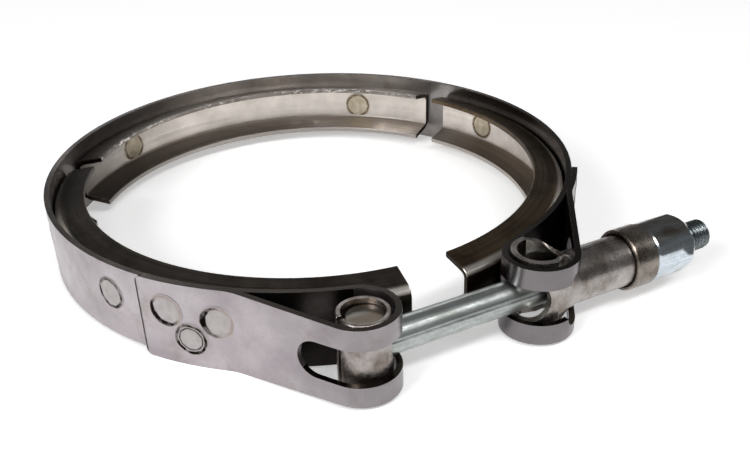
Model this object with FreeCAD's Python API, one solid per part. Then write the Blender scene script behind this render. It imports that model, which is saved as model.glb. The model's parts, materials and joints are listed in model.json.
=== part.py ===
import FreeCAD, Part

import math
import os

from FreeCAD import Vector

# V-band clamp for a flanged exhaust joint. Millimetres. The ring's axis is Z, the origin is
# the ring's centre at mid-height, the opening faces -Y and the bolt lies along +X.

# Band: one strip that is the ring, both loops and both tabs
BAND_RADIUS = 60.0           # outside of the ring
STRIP_THICKNESS = 1.2
STRIP_WIDTH = 16.4
LOOP_INSIDE = 6.3            # inside radius of both loops
LEFT_LOOP_X = 20.4           # from the middle of the opening to each loop's centre
RIGHT_LOOP_X = 18.4
TAB_WIDTH = 17.8             # the tabs are a little wider than the ring
TAB_LEAVE_ANGLE = 41.0       # from the middle of the opening to where a tab meets the ring
LEFT_TAB_ANGLE = 57.5        # from the middle of the opening to each tab's free end
RIGHT_TAB_ANGLE = 52.6
TAB_BEND_RADIUS = 12.0       # middle of the strip, where a tab lifts off the ring
TAB_CORNER_RADIUS = 1.5

# Slots in the loops
SLOT_HEIGHT = 7.7
SLOT_END_BACK = 1.5          # centre of a slot's round end, behind the bolt's axis
LEFT_SLOT_RUN = 8.6          # how far the left slot reaches along its tab
BARREL_SLOT_START = 2.0      # where the right slot widens, from the loop's centre
BARREL_SLOT_RUN = 15.0       # how far the wide part reaches along the right tab
BARREL_SLOT_CORNER = 2.0

# V retainers: three rolled channels inside the ring
RETAINER_THICKNESS = 1.2
RETAINER_SEAT = 0.05         # between a web and the band it is spot welded to
RETAINER_HEIGHT = 12.8       # over both leg tips
RETAINER_DEPTH = 7.05        # from the web's outside to the leg tips
LEG_SLOPE = 12.0             # each leg leans this much from flat
RETAINER_BEND = 1.0          # inside of each bend
BEND_FLATS = 2               # each bend is this many short flats
LEFT_OPENING_ANGLE = 6.8     # from the middle of the opening to the front ends
RIGHT_OPENING_ANGLE = 5.1
RETAINER_GAP_ANGLE = 5.4
RIGHT_GAP_ANGLE = 28.1       # where the rear gaps are, from +X
LEFT_GAP_ANGLE = 146.5
LEG_TRIM_ANGLE = 8.0         # slanted cut on the left channel's lower leg, at the rear

# Trunnions, held by the loops
SLEEVE_PLAY = 1.15           # sleeve to the inside of its loop
SLEEVE_PULL = 0.6            # the bolt draws the sleeve this far towards the opening
SLEEVE_HEIGHT = 15.0
SLEEVE_WALL = 1.1
SLEEVE_SLIT = 1.0
SLEEVE_HOLE_GAP = 0.5        # bolt to the hole in the sleeve
SADDLE_PLAY = 0.6            # saddle to the inside of its loop
SADDLE_WALL = 1.2
SADDLE_HEIGHT = 17.2         # where it is wrapped round
SADDLE_HOLE_RADIUS = 4.7
BARREL_RADIUS = 5.4
BARREL_SLOT_GAP = 0.5        # barrel to the wide part of the right slot
SEAM_GAP = 0.2               # between the two halves of the barrel
CURL_LENGTH = 7.0            # over which the saddle's arms curl into the barrel
ARM_STEPS = 3                # straight-sided steps in the curl
BARREL_END = 42.7            # from the ring's centre, along the bolt
RIM_BREAK = 0.3              # broken edges of the sleeve and the collar

# T-bolt, collar and nut
SHANK_RADIUS = 3.25
THREAD_RADIUS = 3.175        # over the crests of a quarter inch, 28 to the inch thread
THREAD_START = 33.0
BOLT_END = 61.4
BOLT_CHAMFER = 0.5
HEAD_CLEARANCE = 0.4         # T head to the bore of the sleeve, all round
HEAD_SEAT = 0.05             # T head to the sleeve on the side it pulls on
HEAD_RECESS = 1.2            # T head below each end of the sleeve
COLLAR_START = 38.5
COLLAR_WALL = 0.75
COLLAR_SLIP = 0.25           # collar to barrel
COLLAR_END_GAP = 0.4         # end of the barrel to the collar's end wall
COLLAR_END_WALL = 1.0
COLLAR_HOLE_GAP = 0.4        # thread to the collar's hole
NUT_GAP = 0.1                # collar to nut
NUT_LENGTH = 11.0
NUT_BASE_LENGTH = 5.4        # round part under the hexagon
NUT_BASE_RADIUS = 6.15
NUT_BASE_CHAMFER = 0.5
NUT_FLATS = 11.1             # across the flats
NUT_TURN = 57.0              # a corner's angle up from the front
NUT_CONE_LENGTH = 1.9        # tapered locking end
NUT_CONE_RADIUS = 4.7
THREAD_FIT = 0.05

# Places worked out from the sizes above
ring_mid_radius = BAND_RADIUS - STRIP_THICKNESS / 2
tab_mid_radius = BAND_RADIUS + STRIP_THICKNESS / 2
loop_mid_radius = LOOP_INSIDE + STRIP_THICKNESS / 2
loop_distance = BAND_RADIUS + LOOP_INSIDE
web_radius = BAND_RADIUS - STRIP_THICKNESS - RETAINER_SEAT
tip_radius = web_radius - RETAINER_DEPTH
left_loop_y = -math.sqrt(loop_distance ** 2 - LEFT_LOOP_X ** 2)
right_loop_y = -math.sqrt(loop_distance ** 2 - RIGHT_LOOP_X ** 2)
bolt_y = (left_loop_y + right_loop_y) / 2
sleeve_x = SLEEVE_PULL - LEFT_LOOP_X
sleeve_radius = LOOP_INSIDE - SLEEVE_PLAY
saddle_radius = LOOP_INSIDE - SADDLE_PLAY
saddle_mid_radius = saddle_radius - SADDLE_WALL / 2
barrel_mid_radius = BARREL_RADIUS - SADDLE_WALL / 2
barrel_height = math.pi * barrel_mid_radius - SEAM_GAP
barrel_start = RIGHT_LOOP_X + CURL_LENGTH
head_radius = sleeve_radius - SLEEVE_WALL - HEAD_CLEARANCE
head_x = sleeve_x + HEAD_CLEARANCE - HEAD_SEAT
collar_bore = BARREL_RADIUS + COLLAR_SLIP
collar_radius = collar_bore + COLLAR_WALL
collar_wall_start = BARREL_END + COLLAR_END_GAP
collar_end = collar_wall_start + COLLAR_END_WALL
nut_start = collar_end + NUT_GAP
nut_end = nut_start + NUT_LENGTH
long_cut = 4 * loop_mid_radius

UP = Vector(0, 0, 1)
ALONG_BOLT = Vector(1, 0, 0)
ACROSS = Vector(0, 1, 0)
CENTRE = Vector(0, 0, 0)


def turned(point, centre, angle):
    """A point turned about a centre in the XY plane, by radians."""
    dx = point.x - centre.x
    dy = point.y - centre.y
    cosine = math.cos(angle)
    sine = math.sin(angle)
    return Vector(centre.x + dx * cosine - dy * sine, centre.y + dx * sine + dy * cosine, 0)


def polar(radius, angle):
    """A point in the XY plane at a radius and an angle in radians."""
    return Vector(radius * math.cos(angle), radius * math.sin(angle), 0)


def strip_face(start, heading, moves, thickness):
    """Section of a strip whose middle line follows the moves.

    A move is (length,) for a straight run or (radius, turn) for a bend, left turns positive.
    """
    point = start
    left = []
    right = []
    for move in moves:
        side = polar(thickness / 2, heading + math.pi / 2)
        if len(move) == 1:
            step = polar(move[0], heading)
            for edges, offset in ((left, side), (right, -side)):
                edges.append(Part.makeLine(point + offset, point + step + offset))
            point = point + step
            continue
        radius, turn = move
        centre = point + polar(math.copysign(radius, turn), heading + math.pi / 2)
        for edges, offset in ((left, side), (right, -side)):
            first = point + offset
            middle = turned(first, centre, turn / 2)
            edges.append(Part.Arc(first, middle, turned(first, centre, turn)).toShape())
        point = turned(point, centre, turn)
        heading = heading + turn
    start_cap = Part.makeLine(right[0].Vertexes[0].Point, left[0].Vertexes[0].Point)
    end_cap = Part.makeLine(left[-1].Vertexes[-1].Point, right[-1].Vertexes[-1].Point)
    return Part.Face(Part.Wire(Part.sortEdges([start_cap] + left + [end_cap] + right)[0]))


def upright(face, height):
    """A solid of a height, centred on the XY plane."""
    solid = face.extrude(UP * height)
    solid.translate(UP * (-height / 2))
    return solid


def mirrored(shape):
    """The other hand of a shape, across the middle of the opening."""
    return shape.mirror(CENTRE, ALONG_BOLT)


def mirrored_point(point):
    return Vector(-point.x, point.y, point.z)


def loop_centre(loop_x):
    """Centre of a loop on the right-hand side, at a distance from the middle of the opening."""
    return Vector(loop_x, -math.sqrt(loop_distance ** 2 - loop_x ** 2), 0)


def tab_line(loop_x):
    """Where the tab leaves a right-hand loop: direction there, straight run, turn of its bend."""
    leave = math.radians(TAB_LEAVE_ANGLE - 90)
    bend_centre = polar(tab_mid_radius + TAB_BEND_RADIUS, leave)
    between = bend_centre - loop_centre(loop_x)
    radii = loop_mid_radius + TAB_BEND_RADIUS
    direction = math.atan2(between.y, between.x) - math.acos(radii / between.Length)
    run = math.sqrt(between.Length ** 2 - radii ** 2)
    return direction, run, leave - direction


def tab_start(loop_x):
    """Middle of the strip where the tab leaves a right-hand loop."""
    return loop_centre(loop_x) + polar(loop_mid_radius, tab_line(loop_x)[0])


def ring_and_loops():
    """The ring with a loop at each end, the whole width of the strip."""
    left_angle = math.asin(LEFT_LOOP_X / loop_distance)
    right_angle = math.asin(RIGHT_LOOP_X / loop_distance)
    left_direction = tab_line(LEFT_LOOP_X)[0]
    start = mirrored_point(tab_start(LEFT_LOOP_X))
    moves = [(loop_mid_radius, left_direction - left_angle + 3 * math.pi / 2),
             (ring_mid_radius, left_angle + right_angle - 2 * math.pi),
             (loop_mid_radius, tab_line(RIGHT_LOOP_X)[0] - right_angle + 3 * math.pi / 2)]
    section = strip_face(start, 3 * math.pi / 2 - left_direction, moves, STRIP_THICKNESS)
    return upright(section, STRIP_WIDTH)


def tab(loop_x, end_angle):
    """A right-hand tab, from its loop to its free end, tapering up to its full width."""
    direction, run, bend = tab_line(loop_x)
    wrap = math.radians(end_angle - TAB_LEAVE_ANGLE)
    moves = [(run,), (TAB_BEND_RADIUS, bend), (tab_mid_radius, wrap)]
    heading = direction + math.pi / 2
    blank = upright(strip_face(tab_start(loop_x), heading, moves, STRIP_THICKNESS), TAB_WIDTH)
    along = polar(1, heading)
    behind = polar(-tab_mid_radius, direction)
    reach = run + tab_mid_radius
    narrow = STRIP_WIDTH / 2
    wide = TAB_WIDTH / 2
    side = [(0, narrow), (run, wide), (reach, wide), (reach, -wide), (run, -wide), (0, -narrow)]
    corners = [tab_start(loop_x) + behind + along * u + UP * z for u, z in side]
    outline = Part.Face(Part.makePolygon(corners + corners[:1]))
    return round_tab_end(blank.common(outline.extrude(behind * -2)), end_angle)


def round_tab_end(solid, end_angle):
    """Round both corners of a tab's free end."""
    end = polar(tab_mid_radius, math.radians(end_angle - 90))
    corners = []
    for edge in solid.Edges:
        flat_distance = Vector(edge.CenterOfMass.x, edge.CenterOfMass.y, 0).distanceToPoint(end)
        short = abs(edge.Length - STRIP_THICKNESS) < STRIP_THICKNESS / 10
        if short and flat_distance < STRIP_THICKNESS / 4:
            corners.append(edge)
    return solid.makeFillet(TAB_CORNER_RADIUS, corners)


def bolt_slot(start_x, end_x):
    """Cutter for a loop's slot where the bolt passes: open in front, round behind."""
    half = SLOT_HEIGHT / 2
    end_y = bolt_y + SLOT_END_BACK
    box = Part.makeBox(end_x - start_x, long_cut, SLOT_HEIGHT, Vector(start_x, end_y - long_cut, -half))
    return box.fuse(Part.makeCylinder(half, end_x - start_x, Vector(start_x, end_y, 0), ALONG_BOLT))


def tab_slot(loop_x, run, half_height):
    """Cutter for the part of a slot that lies in a right-hand tab, ending in a half circle."""
    direction = tab_line(loop_x)[0]
    along = polar(1, direction + math.pi / 2)
    out = polar(1, direction)
    first = tab_start(loop_x) - out * (STRIP_THICKNESS * 2)
    last = first + along * (run - half_height)
    rise = UP * half_height
    outline = Part.makePolygon([first - rise, last - rise, last + rise, first + rise, first - rise])
    box = Part.Face(outline).extrude(out * (STRIP_THICKNESS * 4))
    return box.fuse(Part.makeCylinder(half_height, STRIP_THICKNESS * 4, last, out))


def loop_front_slot(loop_x, half_height):
    """Cutter for the part of a slot that bends round the front of a right-hand loop."""
    outside = LOOP_INSIDE + STRIP_THICKNESS * 2
    base = loop_centre(loop_x) - UP * half_height
    ring = Part.makeCylinder(outside, 2 * half_height, base, UP)
    ring = ring.cut(Part.makeCylinder(LOOP_INSIDE / 2, 2 * half_height, base, UP))
    quarter = Part.makeBox(outside, outside, 2 * half_height)
    quarter.rotate(CENTRE, UP, math.degrees(tab_line(loop_x)[0]) - 90)
    quarter.translate(base)
    return ring.common(quarter)


def barrel_slot():
    """Cutter for the wide part of the right slot, which lets the barrel out."""
    half = BARREL_RADIUS + BARREL_SLOT_GAP
    start_x = RIGHT_LOOP_X + BARREL_SLOT_START
    box = Part.makeBox(long_cut, long_cut, 2 * half, Vector(start_x, bolt_y - long_cut, -half))
    corners = [edge for edge in box.Edges
               if edge.BoundBox.XMax < start_x + BARREL_SLOT_GAP and edge.BoundBox.YLength > half]
    rounded = box.makeFillet(BARREL_SLOT_CORNER, corners)
    return rounded.fuse(tab_slot(RIGHT_LOOP_X, BARREL_SLOT_RUN, half))


def band():
    tabs = [mirrored(tab(LEFT_LOOP_X, LEFT_TAB_ANGLE)), tab(RIGHT_LOOP_X, RIGHT_TAB_ANGLE)]
    body = ring_and_loops().multiFuse(tabs)
    loop_outside = LOOP_INSIDE + 2 * STRIP_THICKNESS
    half = SLOT_HEIGHT / 2
    left_slots = [bolt_slot(-LEFT_LOOP_X, loop_outside - LEFT_LOOP_X),
                  mirrored(loop_front_slot(LEFT_LOOP_X, half)),
                  mirrored(tab_slot(LEFT_LOOP_X, LEFT_SLOT_RUN, half))]
    right_slots = [bolt_slot(RIGHT_LOOP_X - loop_outside, RIGHT_LOOP_X + 2 * BARREL_SLOT_START),
                   barrel_slot()]
    return body.cut(left_slots + right_slots).removeSplitter()


def channel_section():
    """Half outlines of the V channel, outside and inside, as (radius, height) corners."""
    slope = math.radians(LEG_SLOPE)
    turn = math.pi / 2 - slope
    spare = RETAINER_THICKNESS
    outlines = []
    for depth, bend in ((0, RETAINER_BEND + RETAINER_THICKNESS), (RETAINER_THICKNESS, RETAINER_BEND)):
        web = web_radius - depth
        corner = RETAINER_HEIGHT / 2 - depth / math.cos(slope) - (web - tip_radius) * math.tan(slope)
        centre_r = web - bend
        centre_z = corner - bend * math.tan(turn / 2)
        points = []
        for step in range(BEND_FLATS + 1):
            angle = turn * step / BEND_FLATS
            points.append((centre_r + bend * math.cos(angle), centre_z + bend * math.sin(angle)))
        tip = tip_radius - spare
        points.append((tip, corner + (web - tip) * math.tan(slope)))
        outlines.append(points)
    return outlines


def retainer(start_angle, end_angle):
    """One rolled V channel between two angles, legs opening inwards."""
    outside, inside = channel_section()
    upper = outside + inside[::-1]
    lower = [(r, -z) for r, z in outside[::-1]]
    hollow = [(r, -z) for r, z in inside]
    corners = [Vector(r, 0, z) for r, z in lower + upper + hollow]
    section = Part.Face(Part.makePolygon(corners + corners[:1]))
    section.rotate(CENTRE, UP, start_angle)
    channel = section.revolve(CENTRE, UP, end_angle - start_angle)
    bore = Part.makeCylinder(tip_radius, 2 * RETAINER_HEIGHT, UP * -RETAINER_HEIGHT, UP)
    return channel.cut(bore)


def trimmed_leg(channel, start_angle):
    """Cut the lower leg's corner off a channel at its starting end."""
    inside = polar(tip_radius - RETAINER_THICKNESS, math.radians(start_angle + LEG_TRIM_ANGLE))
    beyond = polar(tip_radius - RETAINER_THICKNESS, math.radians(start_angle - LEG_TRIM_ANGLE))
    outside = polar(web_radius, math.radians(start_angle))
    wedge = Part.Face(Part.makePolygon([inside, outside, beyond, inside]))
    return channel.cut(wedge.extrude(UP * -RETAINER_HEIGHT))


def bolt_sleeve():
    """The left trunnion: sheet rolled into a C, its slit facing away from the bolt."""
    mid_radius = sleeve_radius - SLEEVE_WALL / 2
    half_slit = math.asin(SLEEVE_SLIT / 2 / mid_radius)
    start = polar(mid_radius, half_slit - math.pi)
    moves = [(mid_radius, 2 * (math.pi - half_slit))]
    section = strip_face(start, half_slit - math.pi / 2, moves, SLEEVE_WALL)
    sleeve = upright(section, SLEEVE_HEIGHT)
    rims = [edge for edge in sleeve.Edges if edge.Length > sleeve_radius
            and abs(abs(edge.CenterOfMass.z) - SLEEVE_HEIGHT / 2) < RIM_BREAK
            and edge.BoundBox.XLength > 2 * mid_radius]
    sleeve = sleeve.makeChamfer(RIM_BREAK, rims)
    hole = Part.makeCylinder(SHANK_RADIUS + SLEEVE_HOLE_GAP, long_cut, CENTRE, ALONG_BOLT)
    sleeve = sleeve.cut(hole)
    sleeve.translate(Vector(sleeve_x, bolt_y, 0))
    return sleeve


def t_bolt():
    """Bolt with a cross head that stands upright in the sleeve."""
    head_height = SLEEVE_HEIGHT - 2 * HEAD_RECESS
    head = Part.makeCylinder(head_radius, head_height, Vector(head_x, bolt_y, -head_height / 2), UP)
    profile = [(head_x, 0), (head_x, SHANK_RADIUS), (THREAD_START, SHANK_RADIUS),
               (THREAD_START, THREAD_RADIUS), (BOLT_END - BOLT_CHAMFER, THREAD_RADIUS),
               (BOLT_END, THREAD_RADIUS - BOLT_CHAMFER), (BOLT_END, 0)]
    return head.fuse(turned_piece(profile)).removeSplitter()


def turned_piece(profile):
    """A piece turned about the bolt's axis, from (distance along it, radius) points."""
    points = [Vector(x, bolt_y + r, 0) for x, r in profile]
    face = Part.Face(Part.makePolygon(points + points[:1]))
    return face.revolve(Vector(0, bolt_y, 0), ALONG_BOLT, 360)


def arm_section(share):
    """Section of the saddle's front arm, flat at share 0 and a half circle at share 1."""
    curl = share * share * (3 - 2 * share)
    height = SADDLE_HEIGHT + (barrel_height - SADDLE_HEIGHT) * curl
    outside = saddle_radius + (BARREL_RADIUS - saddle_radius) * curl
    x = RIGHT_LOOP_X + CURL_LENGTH * share
    curves = []
    for depth in (0, SADDLE_WALL):
        low, middle, high = [arm_point(x, outside, curl, height, part, depth) for part in (-0.5, 0, 0.5)]
        curves.append(Part.Arc(low, middle, high).toShape() if curl else Part.makeLine(low, high))
    top = Part.makeLine(curves[0].Vertexes[-1].Point, curves[1].Vertexes[-1].Point)
    bottom = Part.makeLine(curves[1].Vertexes[0].Point, curves[0].Vertexes[0].Point)
    return Part.Wire(Part.sortEdges([curves[0], top, curves[1], bottom])[0])


def arm_point(x, outside, curl, height, part, depth):
    """A point of the curling arm, at a part of its height and a depth into its wall."""
    if curl == 0:
        return Vector(x, bolt_y - outside + depth, height * part)
    bend = height / (math.pi * curl)
    angle = height * part / bend
    radius = bend + SADDLE_WALL / 2 - depth
    centre_y = bolt_y - outside + bend + SADDLE_WALL / 2
    return Vector(x, centre_y - radius * math.cos(angle), radius * math.sin(angle))


def saddle():
    """The right trunnion: one strip folded round in the loop and curled into a barrel."""
    start = Vector(RIGHT_LOOP_X, bolt_y + saddle_mid_radius, 0)
    section = strip_face(start, math.pi, [(saddle_mid_radius, math.pi)], SADDLE_WALL)
    wrap = upright(section, SADDLE_HEIGHT)
    hole_start = Vector(RIGHT_LOOP_X - saddle_radius, bolt_y - long_cut / 2, 0)
    wrap = wrap.cut(Part.makeCylinder(SADDLE_HOLE_RADIUS, long_cut, hole_start, ACROSS))
    sections = [arm_section(step / ARM_STEPS) for step in range(ARM_STEPS + 1)]
    arm = Part.makeLoft(sections, True, True)
    half_barrel = Part.Face(sections[-1]).extrude(ALONG_BOLT * (BARREL_END - barrel_start))
    front = [arm, half_barrel]
    back = [piece.mirror(Vector(0, bolt_y, 0), ACROSS) for piece in front]
    return wrap.multiFuse(front + back).removeSplitter()


def collar_ring():
    """Thimble over the end of the barrel; the nut bears on its end wall."""
    hole = THREAD_RADIUS + COLLAR_HOLE_GAP
    profile = [(COLLAR_START, collar_bore), (COLLAR_START, collar_radius - RIM_BREAK),
               (COLLAR_START + RIM_BREAK, collar_radius), (collar_end - RIM_BREAK, collar_radius),
               (collar_end, collar_radius - RIM_BREAK), (collar_end, hole),
               (collar_wall_start, hole), (collar_wall_start, collar_bore)]
    return turned_piece(profile)


def lock_nut():
    """Nut with a round base, a hexagon and a tapered locking end."""
    bore = THREAD_RADIUS + THREAD_FIT
    profile = [(nut_start, bore), (nut_start, NUT_BASE_RADIUS - NUT_BASE_CHAMFER),
               (nut_start + NUT_BASE_CHAMFER, NUT_BASE_RADIUS),
               (nut_end - NUT_CONE_LENGTH, NUT_BASE_RADIUS), (nut_end, NUT_CONE_RADIUS),
               (nut_end, bore)]
    hexagon_start = nut_start + NUT_BASE_LENGTH
    corner_radius = NUT_FLATS / math.sqrt(3)
    corners = []
    for step in range(7):
        angle = math.radians(NUT_TURN + 60 * step)
        y = bolt_y - corner_radius * math.cos(angle)
        corners.append(Vector(hexagon_start, y, corner_radius * math.sin(angle)))
    hexagon = Part.Face(Part.makePolygon(corners)).extrude(ALONG_BOLT * NUT_LENGTH)
    base = Part.makeCylinder(NUT_BASE_RADIUS + 1, NUT_BASE_LENGTH + 1,
                             Vector(nut_start - 1, bolt_y, 0), ALONG_BOLT)
    return turned_piece(profile).common(hexagon.fuse(base))


def retainers():
    """The three channels by name, from one side of the opening round to the other."""
    half_gap = RETAINER_GAP_ANGLE / 2
    left_start = LEFT_GAP_ANGLE + half_gap
    left = retainer(left_start, 270 - LEFT_OPENING_ANGLE)
    return {
        "retainer_right": retainer(RIGHT_OPENING_ANGLE - 90, RIGHT_GAP_ANGLE - half_gap),
        "retainer_rear": retainer(RIGHT_GAP_ANGLE + half_gap, LEFT_GAP_ANGLE - half_gap),
        "retainer_left": trimmed_leg(left, left_start),
    }


def main():
    os.makedirs("parts", exist_ok=True)
    pieces = {
        "band": band(),
        "bolt_sleeve": bolt_sleeve(),
        "t_bolt": t_bolt(),
        "saddle_trunnion": saddle(),
        "collar_ring": collar_ring(),
        "lock_nut": lock_nut(),
    }
    pieces.update(retainers())
    for name, shape in pieces.items():
        shape.exportStep("parts/" + name + ".step")
        print(name, "valid", shape.isValid(), "solids", len(shape.Solids), "volume", round(shape.Volume, 1))


main()
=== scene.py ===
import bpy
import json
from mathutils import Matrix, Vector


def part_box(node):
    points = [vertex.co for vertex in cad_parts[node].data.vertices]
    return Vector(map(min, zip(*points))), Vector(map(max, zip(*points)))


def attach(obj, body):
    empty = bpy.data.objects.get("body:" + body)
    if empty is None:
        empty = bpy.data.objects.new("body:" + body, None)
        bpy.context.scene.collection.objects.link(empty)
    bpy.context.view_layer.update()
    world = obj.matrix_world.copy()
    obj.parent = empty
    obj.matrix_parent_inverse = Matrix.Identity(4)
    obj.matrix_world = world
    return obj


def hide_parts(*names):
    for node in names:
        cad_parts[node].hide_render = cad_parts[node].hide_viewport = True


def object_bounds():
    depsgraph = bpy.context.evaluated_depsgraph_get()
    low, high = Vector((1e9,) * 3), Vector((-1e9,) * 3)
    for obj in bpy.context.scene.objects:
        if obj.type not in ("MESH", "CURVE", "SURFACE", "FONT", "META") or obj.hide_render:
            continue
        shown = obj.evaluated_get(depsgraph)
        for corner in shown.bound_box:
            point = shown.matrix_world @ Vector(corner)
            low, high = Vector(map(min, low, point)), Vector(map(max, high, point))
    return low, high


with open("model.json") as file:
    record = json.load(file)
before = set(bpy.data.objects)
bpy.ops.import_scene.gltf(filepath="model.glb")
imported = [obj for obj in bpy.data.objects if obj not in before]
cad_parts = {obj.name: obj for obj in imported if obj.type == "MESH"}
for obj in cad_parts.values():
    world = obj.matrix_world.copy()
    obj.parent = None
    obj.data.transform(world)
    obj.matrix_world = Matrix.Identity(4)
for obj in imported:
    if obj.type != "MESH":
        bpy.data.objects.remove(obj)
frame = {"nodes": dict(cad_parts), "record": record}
cad_box = [list(corner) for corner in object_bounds()]

# %% [markdown]
# # A V-band clamp
# A V-band clamp pulls two flanged pipes together. Three rolled V channels sit inside a thin band,
# and a T-bolt draws the two ends of the band towards each other. Everything is bare or plated
# steel, so the lesson is mostly about thin metal: clean edges, spot-weld marks, a real thread,
# and finishes that differ only a little from piece to piece.
#
# The solid parts are already loaded, in metres. The ring's axis is Z, the opening faces -Y and the
# bolt lies along +X. This first cell gathers what the later ones share.

# %% Shared values
import json
import math

import bmesh
import bpy
from mathutils import Matrix, Vector

MM = 0.001
BAND_RADIUS = 60.0 * MM
STRIP = 1.2 * MM
record = frame["record"]
joint_places = {joint["name"]: Vector(joint["pos_m"])
                for joint in record["behaviour"]["joints"] if "pos_m" in joint}
bolt_y = joint_places["bolt_swivel"].y
floor_height = cad_box[0][2]
print("bolt axis at y", round(bolt_y / MM, 2), "mm, floor at", round(floor_height / MM, 2), "mm")

# %% [markdown]
# ## Camera
# A longish lens held above the left-hand loop shows the ring as an open oval. The camera is turned
# a little about its own axis, and its centre is shifted so that the clamp sits where it should.

# %% The camera
AZIMUTH = math.radians(-28.10)
ELEVATION = math.radians(31.23)
ROLL = math.radians(-1.525)
CAMERA_PLACE = Vector((-80.66, -183.93, 95.36)) * MM
LENS = 44.39
SHIFT = (-0.0071, 0.0564)
NEAREST, FARTHEST = 1 * MM, 20.0


def camera_matrix(azimuth, elevation, roll, place):
    """World matrix of a camera that looks back along its azimuth and elevation."""
    flat = math.cos(elevation)
    back = Vector((math.sin(azimuth) * flat, -math.cos(azimuth) * flat, math.sin(elevation)))
    right = Vector((math.cos(azimuth), math.sin(azimuth), 0))
    up = back.cross(right)
    turned_right = right * math.cos(roll) + up * math.sin(roll)
    turned_up = up * math.cos(roll) - right * math.sin(roll)
    matrix = Matrix((turned_right, turned_up, back)).transposed().to_4x4()
    matrix.translation = place
    return matrix


camera_data = bpy.data.cameras.new("camera")
camera_data.lens = LENS
camera_data.shift_x, camera_data.shift_y = SHIFT
camera_data.clip_start, camera_data.clip_end = NEAREST, FARTHEST
camera = bpy.data.objects.new("camera", camera_data)
bpy.context.scene.collection.objects.link(camera)
camera.matrix_world = camera_matrix(AZIMUTH, ELEVATION, ROLL, CAMERA_PLACE)
bpy.context.scene.camera = camera
print("camera stands", round(CAMERA_PLACE.length, 3), "m from the ring's centre")

# %% [markdown]
# ## Nodes with less typing
# Every finish below is a small node tree. One function adds a node, whatever its kind: it sets
# the node's properties, then fills its inputs, in order or by name, with numbers, hex colours or
# other nodes. Another turns a hex colour, as a painter would write it, into the linear values
# that the renderer needs.


# %% Helpers for colours and nodes
def linear(code):
    """A hex colour as linear red, green and blue, and full alpha."""
    channels = []
    for start in (0, 2, 4):
        value = int(code[start:start + 2], 16) / 255
        channels.append(value / 12.92 if value <= 0.04045 else ((value + 0.055) / 1.055) ** 2.4)
    return (*channels, 1.0)


def join(tree, source, socket):
    """Fill an input: link a node or one of its outputs, or set a number, a text or a hex colour."""
    if isinstance(source, bpy.types.Node):
        source = next(item for item in source.outputs if item.enabled)
    if isinstance(source, bpy.types.NodeSocket):
        tree.links.new(source, socket)
    else:
        socket.default_value = linear(source) if socket.type == "RGBA" else source


def add(tree, kind, *inputs, **settings):
    """Add a node, set its properties, and fill its inputs in order or by name."""
    node = tree.nodes.new(kind)
    by_name = {}
    for name, value in settings.items():
        if hasattr(node, name):
            setattr(node, name, value)
        else:
            by_name[name.replace("_", " ")] = value
    for source, socket in zip(inputs, [socket for socket in node.inputs if socket.enabled]):
        join(tree, source, socket)
    for name, source in by_name.items():
        join(tree, source, node.inputs[name])
    return node


def new_material(name, **values):
    """A new material, its node tree and its shader, with some of the shader's inputs set."""
    material = bpy.data.materials.new(name)
    material.use_nodes = True
    tree = material.node_tree
    shader = tree.nodes["Principled BSDF"]
    for label, value in values.items():
        join(tree, value, shader.inputs[label.replace("_", " ")])
    return material, tree, shader


MATH, VECTOR_MATH = "ShaderNodeMath", "ShaderNodeVectorMath"
RANGE, MIX = "ShaderNodeMapRange", "ShaderNodeMix"
SPLIT, GATHER = "ShaderNodeSeparateXYZ", "ShaderNodeCombineXYZ"
print("a middle grey of 808080 is", round(linear("808080")[0], 3), "in linear light")

# %% [markdown]
# ## Room
# Bare metal has hardly any colour of its own: it shows the room. A white floor makes the upright
# faces pale, and a dim grey sky above keeps every face that looks up dark, which is how such a
# clamp looks on a table. The lamps stand on the camera's side, so that no flat top mirrors them.
#
# The floor is matt white paper: coarse fibres scatter the light, so it has no gloss to speak of.
# It glows a little where the camera or a reflection looks at it, and is quite white far away.


# %% Floor
FLOOR_HALF = 3.0
FLOOR_GAP = 0.02 * MM
CAMERA_GLOW, MIRROR_GLOW, WHITE = 0.42, 0.27, 1.0
GLOW_FROM, GLOW_TO = 0.3, 1.1


def paper(name, code):
    """Matt white paper, a little whiter to the camera and in reflections, and white far away."""
    material, tree, shader = new_material(name, Base_Color=code, Roughness=0.9,
                                          Specular_IOR_Level=0.1, Emission_Color="ffffff")
    ray = add(tree, "ShaderNodeLightPath").outputs
    mirrored = add(tree, MATH, ray["Is Glossy Ray"], MIRROR_GLOW, operation="MULTIPLY")
    place = add(tree, "ShaderNodeTexCoord").outputs["Object"]
    away = add(tree, VECTOR_MATH, place, operation="LENGTH")
    glow = add(tree, RANGE, away, GLOW_FROM, GLOW_TO, CAMERA_GLOW, WHITE)
    strength = add(tree, MATH, ray["Is Camera Ray"], glow, mirrored, operation="MULTIPLY_ADD")
    join(tree, strength, shader.inputs["Emission Strength"])
    return material


corners = [(x * FLOOR_HALF, y * FLOOR_HALF, floor_height - FLOOR_GAP)
           for x, y in ((-1, -1), (1, -1), (1, 1), (-1, 1))]
floor_mesh = bpy.data.meshes.new("floor")
floor_mesh.from_pydata(corners, [], [(0, 1, 2, 3)])
floor_mesh.materials.append(paper("matt white paper", "f8f8f8"))
floor = bpy.data.objects.new("floor", floor_mesh)
bpy.context.scene.collection.objects.link(floor)
print("floor of", 2 * FLOOR_HALF, "m with", floor_mesh.materials[0].name)


# %% Lamps and sky
def lamp(name, place, size, power):
    """A soft rectangular lamp, in metres and watts, that looks at the clamp."""
    data = bpy.data.lights.new(name, "AREA")
    data.shape = "RECTANGLE"
    data.size, data.size_y = size
    data.energy = power
    item = bpy.data.objects.new(name, data)
    bpy.context.scene.collection.objects.link(item)
    item.location = place
    item.rotation_euler = (-Vector(place)).to_track_quat("-Z", "Y").to_euler()


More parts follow.
